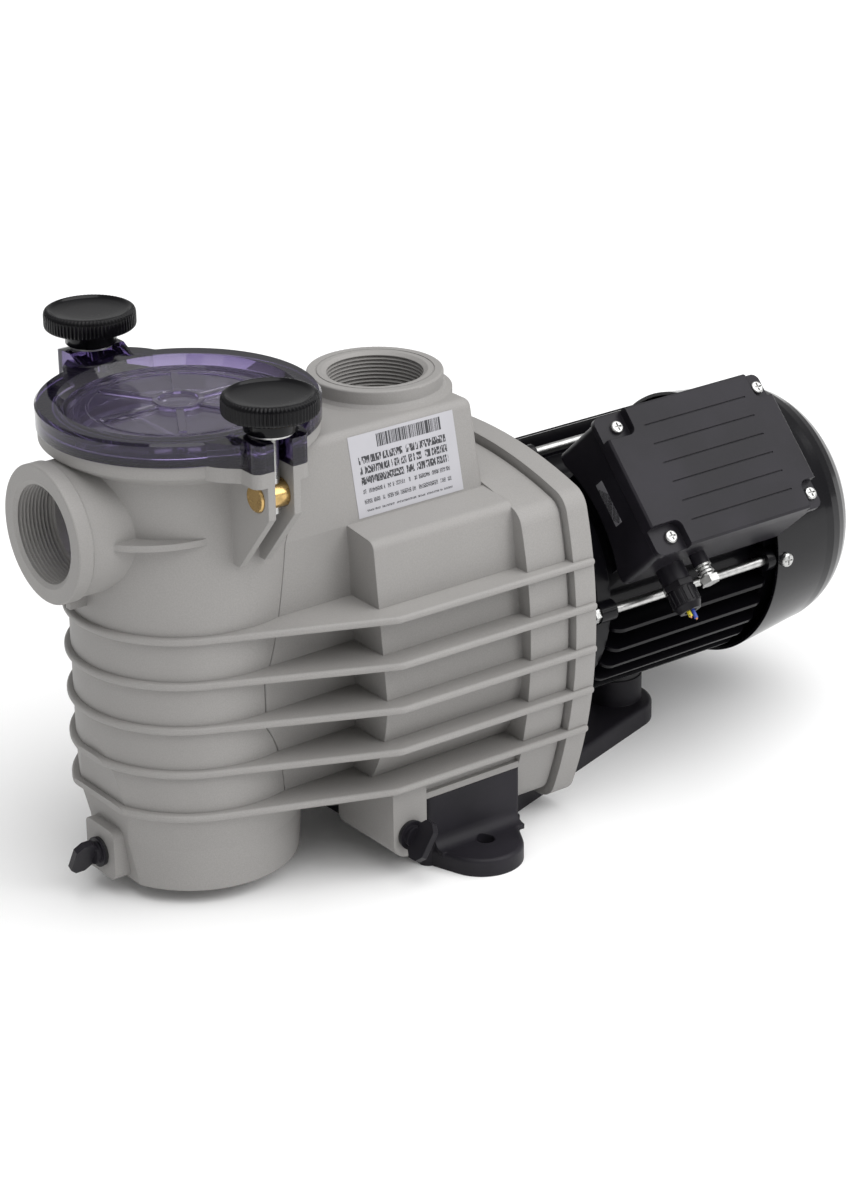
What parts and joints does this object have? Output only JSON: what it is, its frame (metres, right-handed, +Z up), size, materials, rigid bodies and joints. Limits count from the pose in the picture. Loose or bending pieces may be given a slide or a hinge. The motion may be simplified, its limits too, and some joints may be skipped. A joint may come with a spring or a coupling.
{
  "type": "pool pump",
  "caption": "Self-priming pool pump: strainer pot with a clear clamped lid, ribbed volute casing, finned motor with a terminal box, and a foot with a rear arm.",
  "frame": {"origin": "midway between the foot's two anchor holes, on the floor, straight below the discharge port", "axes": "+X along the shaft towards the motor, -Y the side with the label and the terminal box, +Z up through the discharge port"},
  "size_m": [0.557, 0.256, 0.3176],
  "materials": {
    "body_moulding": "light warm grey moulding, fine texture",
    "clear_lid": "clear violet tinted plastic",
    "strainer": "white moulding",
    "knob_black": "black, glossy",
    "plug_black": "black",
    "seal_rubber": "black rubber",
    "brass_pivot": "turned brass",
    "zinc_steel": "zinc plated",
    "wet_moulding": "glass-filled moulding",
    "ceramic": "ceramic",
    "carbon": "carbon ring with a steel spring",
    "stainless": "stainless steel",
    "laminations": "stacked sheet",
    "copper": "enamelled copper",
    "motor_black": "cast aluminium, black paint",
    "fan_black": "black, glossy",
    "box_charcoal": "charcoal, satin",
    "capacitor_case": "light grey can",
    "terminal_white": "off-white",
    "lead_sleeve": "coloured insulation",
    "label": "printed film",
    "foot_charcoal": "charcoal, satin"
  },
  "bodies": {
    "pump": {"strainer_pot": "body_moulding", "pump_body": "body_moulding", "casing_ribs": "body_moulding", "diffuser": "wet_moulding", "seal_seat": "ceramic", "casing_cover": "wet_moulding", "casing_oring": "seal_rubber", "casing_bolts": "zinc_steel", "stator_core": "laminations", "stator_windings": "copper", "front_bearing_outer": "stainless", "front_bearing_balls": "stainless", "rear_bearing_outer": "stainless", "rear_bearing_balls": "stainless", "wave_washer": "zinc_steel", "front_shield": "motor_black", "motor_housing": "motor_black", "rear_shield": "motor_black", "tie_rods": "zinc_steel", "fan_cover": "fan_black", "fan_cover_screws": "zinc_steel", "terminal_box": "box_charcoal", "box_gasket": "seal_rubber", "box_cover": "box_charcoal", "box_cover_screws": "zinc_steel", "capacitor": "capacitor_case", "terminal_block": "terminal_white", "gland_body": "box_charcoal", "gland_nut": "box_charcoal", "lead_ends": "lead_sleeve", "earth_screw": "zinc_steel", "box_label": "label", "rating_label": "label", "foot": "foot_charcoal", "foot_screws": "zinc_steel", "motor_pad": "seal_rubber"},
    "rotor": {"shaft": "stainless", "rotor_core": "laminations", "impeller": "wet_moulding", "impeller_nut": "brass_pivot", "seal_head": "carbon", "cooling_fan": "fan_black", "fan_clip": "zinc_steel", "front_bearing_inner": "stainless", "rear_bearing_inner": "stainless"},
    "lid": {"lid": "clear_lid", "lid_oring": "seal_rubber"},
    "basket": {"strainer_basket": "strainer"},
    "near_bolt": {"near_swing_bolt": "zinc_steel", "near_pivot_barrel": "brass_pivot"},
    "near_washer": {"near_knob_washer": "zinc_steel"},
    "near_knob": {"near_knob": "knob_black"},
    "far_bolt": {"far_swing_bolt": "zinc_steel", "far_pivot_barrel": "brass_pivot"},
    "far_washer": {"far_knob_washer": "zinc_steel"},
    "far_knob": {"far_knob": "knob_black"},
    "pot_seal": {"pot_drain_seal": "seal_rubber"},
    "pot_plug": {"pot_drain_plug": "plug_black"},
    "sump_seal": {"volute_drain_seal": "seal_rubber"},
    "sump_plug": {"volute_drain_plug": "plug_black"}
  },
  "joints": [
    {"name": "rotor_spin", "type": "hinge", "parent": "pump", "child": "rotor", "pos_m": [0, 0, 0.118], "axis": [1, 0, 0], "continuous": true},
    {"name": "lid_lift", "type": "slide", "parent": "pump", "child": "lid", "axis": [0, 0, 1], "range_m": [0, 0.28]},
    {"name": "basket_lift", "type": "slide", "parent": "pump", "child": "basket", "axis": [0, 0, 1], "range_m": [0, 0.225]},
    {"name": "near_bolt_swing", "type": "hinge", "parent": "pump", "child": "near_bolt", "pos_m": [-0.135, -0.0916, 0.2595], "axis": [1, 0, 0], "range_deg": [0, 100]},
    {"name": "near_knob_travel", "type": "slide", "parent": "near_bolt", "child": "near_washer", "axis": [0, 0, 1], "range_m": [0, 0.28]},
    {"name": "near_knob_turn", "type": "hinge", "parent": "near_washer", "child": "near_knob", "pos_m": [-0.135, -0.0916, 0.305], "axis": [0, 0, 1], "continuous": true},
    {"name": "far_bolt_swing", "type": "hinge", "parent": "pump", "child": "far_bolt", "pos_m": [-0.135, 0.0916, 0.2595], "axis": [-1, 0, 0], "range_deg": [0, 100]},
    {"name": "far_knob_travel", "type": "slide", "parent": "far_bolt", "child": "far_washer", "axis": [0, 0, 1], "range_m": [0, 0.28]},
    {"name": "far_knob_turn", "type": "hinge", "parent": "far_washer", "child": "far_knob", "pos_m": [-0.135, 0.0916, 0.305], "axis": [0, 0, 1], "continuous": true},
    {"name": "pot_plug_travel", "type": "slide", "parent": "pump", "child": "pot_seal", "axis": [-1, 0, 0], "range_m": [0, 0.012]},
    {"name": "pot_plug_turn", "type": "hinge", "parent": "pot_seal", "child": "pot_plug", "pos_m": [-0.201, 0, 0.026], "axis": [-1, 0, 0], "range_deg": [0, 2884]},
    {"name": "sump_plug_travel", "type": "slide", "parent": "pump", "child": "sump_seal", "axis": [0, -1, 0], "range_m": [0, 0.012]},
    {"name": "sump_plug_turn", "type": "hinge", "parent": "sump_seal", "child": "sump_plug", "pos_m": [-0.049, -0.095, 0.027], "axis": [0, -1, 0], "range_deg": [0, 2884]}
  ],
  "couplings": [
    {"joint": "basket_lift", "follows": "lid_lift", "ratio": 0.8},
    {"joint": "near_knob_travel", "follows": "lid_lift", "ratio": 1},
    {"joint": "far_knob_travel", "follows": "lid_lift", "ratio": 1},
    {"joint": "pot_plug_turn", "follows": "pot_plug_travel", "rad_per_m": 4188.8},
    {"joint": "sump_plug_turn", "follows": "sump_plug_travel", "rad_per_m": 4188.8}
  ]
}
